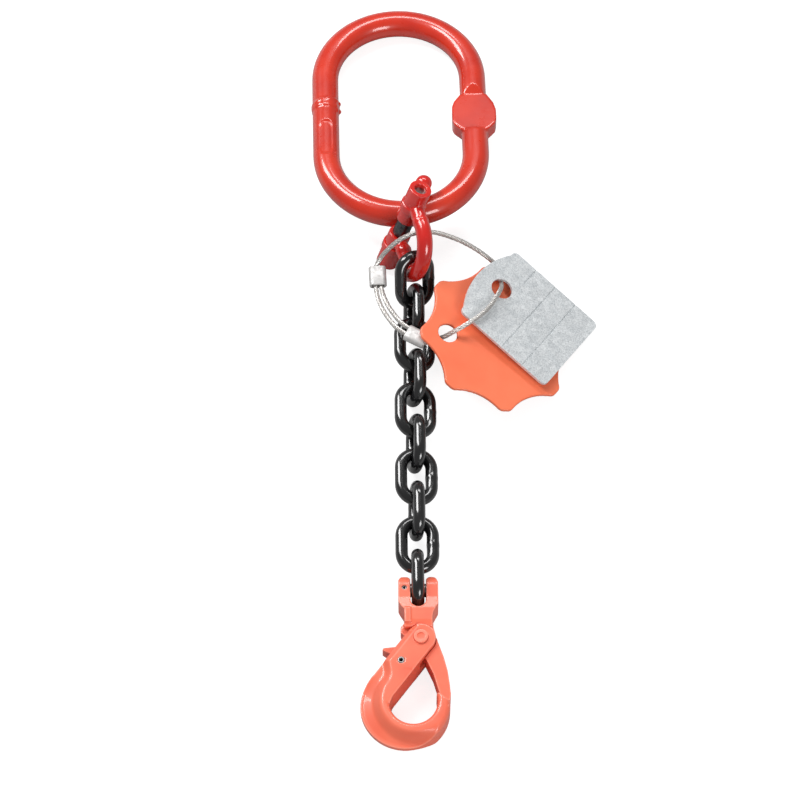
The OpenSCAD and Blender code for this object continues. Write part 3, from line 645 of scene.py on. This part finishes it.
def makeHook():
    place = hookPlace()
    body = copyNode("hook_clevis", "hookBodyForged")
    body.data.transform(place.inverted())
    joinAll(body, [block(**hook["neckBlock"])])   # raised block on the neck's left side
    forge(body, hook["voxel"], rounds=5)
    body.data.transform(place)
    finishPiece(body, "hook_clevis", "coral_powder_coat")

    jaw = copyNode("hook_jaw", "hookJawForged")
    jaw.data.transform(place.inverted())
    modify(jaw, "REMESH", mode="VOXEL", voxel_size=hook["voxel"])
    dressBowl(jaw)
    forge(jaw, hook["voxel"], rounds=5)
    jaw.data.transform(place)
    finishPiece(jaw, "hook_jaw", "coral_powder_coat")

    rivet = copyNode("jaw_rivet", "rivetPeened")
    breakEdges(rivet, hook["rivetEdge"], smooth=30)
    finishPiece(rivet, "jaw_rivet", "coral_powder_coat")

    thumb = copyNode("trigger", "triggerForged")
    forge(thumb, hook["triggerVoxel"], rounds=4)
    finishPiece(thumb, "trigger", "coral_powder_coat")

    for node in ("load_pin", "load_pin_keeper", "trigger_pin"):
        small = copyNode(node, "turned" + node.title().replace("_", ""))
        breakEdges(small, hook["pinEdge"], segments=2)
        finishPiece(small, node, "pin_steel")
    spring = copyNode("trigger_spring", "turnedTriggerSpring")
    only(spring)
    bpy.ops.object.shade_smooth_by_angle(angle=radians(35))
    finishPiece(spring, "trigger_spring", "pin_steel")


makeHook()
print("hook done")


# Rating tag, a galvanised sheet with ruled lines, and the eight-lobed grade plate

tag = {
    "at": (0.036043, 0.021377, 0.0149), "tip": 21.5, "turn": -36.6, "thick": 0.0015, "edge": 0.00025,
    # ruled lines: x, y and length of each, and the width and height of what cuts them
    "lines": ((0.0155, 0.0, 0.052), (0.0022, 0.0, 0.052), (-0.0105, 0.0195, 0.012)),
    "groove": (0.0008, 0.0007),
}
plate = {"tip": 19.0, "voxel": 0.00036, "tipRound": 0.0024, "tipAngle": 22.0}


def makeTag():
    sheet = copyNode("rating_tag", "ratingTagPressed")
    place = (Matrix.Translation(tag["at"]) @ Matrix.Rotation(radians(tag["tip"]), 4, "Y")
             @ Matrix.Rotation(radians(tag["turn"]), 4, "Z"))
    sheet.data.transform(place.inverted())
    wide, high = tag["groove"]
    cutWith(sheet, [block((wide, length, high), (x, y, tag["thick"] / 2)) for x, y, length in tag["lines"]])
    modify(sheet, "BEVEL", width=tag["edge"], segments=2, limit_method="ANGLE", angle_limit=radians(60))
    sheet.data.transform(place)
    only(sheet)
    bpy.ops.object.shade_smooth_by_angle(angle=radians(30))
    modify(sheet, "WEIGHTED_NORMAL", keep_sharp=True)
    finishPiece(sheet, "rating_tag", "galvanised_sheet")


def roundTips(lobed):
    # the corners where one hollow meets the next are rounded before the rims are
    only(lobed)
    normal = Vector((sin(radians(plate["tip"])), 0, cos(radians(plate["tip"]))))
    bpy.ops.object.mode_set(mode="EDIT")
    bpy.ops.mesh.select_all(action="SELECT")
    bpy.ops.mesh.dissolve_limited(angle_limit=radians(1))
    bpy.ops.mesh.select_mode(type="EDGE")
    bpy.ops.mesh.select_all(action="DESELECT")
    shape = bmesh.from_edit_mesh(lobed.data)
    for edge in shape.edges:
        along = (edge.verts[1].co - edge.verts[0].co).normalized()
        through = abs(along.dot(normal)) > 0.99   # runs through the plate's thickness
        if through and edge.calc_face_angle(0) > radians(plate["tipAngle"]):
            edge.select_set(True)
    bmesh.update_edit_mesh(lobed.data)
    bpy.ops.mesh.bevel(offset=plate["tipRound"], segments=5)
    bpy.ops.object.mode_set(mode="OBJECT")


def makePlate():
    lobed = copyNode("grade_plate", "gradePlatePressed")
    roundTips(lobed)
    level = Matrix.Rotation(radians(plate["tip"]), 4, "Y")   # worked level, its faces stay flat
    lobed.data.transform(level.inverted())
    forge(lobed, plate["voxel"], rounds=7)
    lobed.data.transform(level)
    finishPiece(lobed, "grade_plate", "coral_plate")


makeTag()
makePlate()
print("tags done")


# Floor, pale room and soft boxes. The camera sees the floor and the room brighter than they light the sling

light = {
    "world": 0.27, "floor": 0.4, "floorGlow": 0.82, "floorSize": 6.0, "floorDrop": 0.0002,
    "boxes": {   # place, size and power
        "keyBox": ((-0.75, 0.55, 1.0), (0.35, 0.9), 13.0),
        "fillBox": ((0.6, -0.95, 0.75), (0.6, 0.5), 8.0),
        "topBox": ((0.1, 0.9, 1.2), (0.9, 0.25), 7.0),
    },
}


def makeFloor():
    bpy.ops.mesh.primitive_plane_add(size=light["floorSize"], location=(0, 0, -light["floorDrop"]))
    floor = bpy.context.object
    floor.name = "paleFloor"
    mat, tree, shader, _ = newFinish("paleFloor")
    shader.inputs["Base Color"].default_value = (light["floor"],) * 3 + (1,)
    shader.inputs["Roughness"].default_value = 0.8
    seen = tree.nodes.new("ShaderNodeLightPath")
    glow = addRange(tree, seen.outputs["Is Camera Ray"], 0, 1, 0.0, light["floorGlow"])
    shader.inputs["Emission Color"].default_value = (1, 1, 1, 1)
    tree.links.new(glow, shader.inputs["Emission Strength"])
    floor.data.materials.append(mat)


def makeRoom():
    world = bpy.data.worlds.new("paleRoom")
    bpy.context.scene.world = world
    world.use_nodes = True
    tree = world.node_tree
    ground = tree.nodes["Background"]
    ground.inputs["Color"].default_value = (1, 1, 1, 1)
    seen = tree.nodes.new("ShaderNodeLightPath")
    level = addRange(tree, seen.outputs["Is Camera Ray"], 0, 1, light["world"], 1.0)
    tree.links.new(level, ground.inputs["Strength"])
    for name, (at, size, power) in light["boxes"].items():
        data = bpy.data.lights.new(name, "AREA")
        data.shape = "RECTANGLE"
        data.size, data.size_y = size
        data.energy = power
        lamp = bpy.data.objects.new(name, data)
        bpy.context.scene.collection.objects.link(lamp)
        lamp.location = at
        lamp.rotation_euler = (-Vector(at)).to_track_quat("-Z", "Y").to_euler()   # each faces the origin


makeFloor()
makeRoom()
print("stage done")
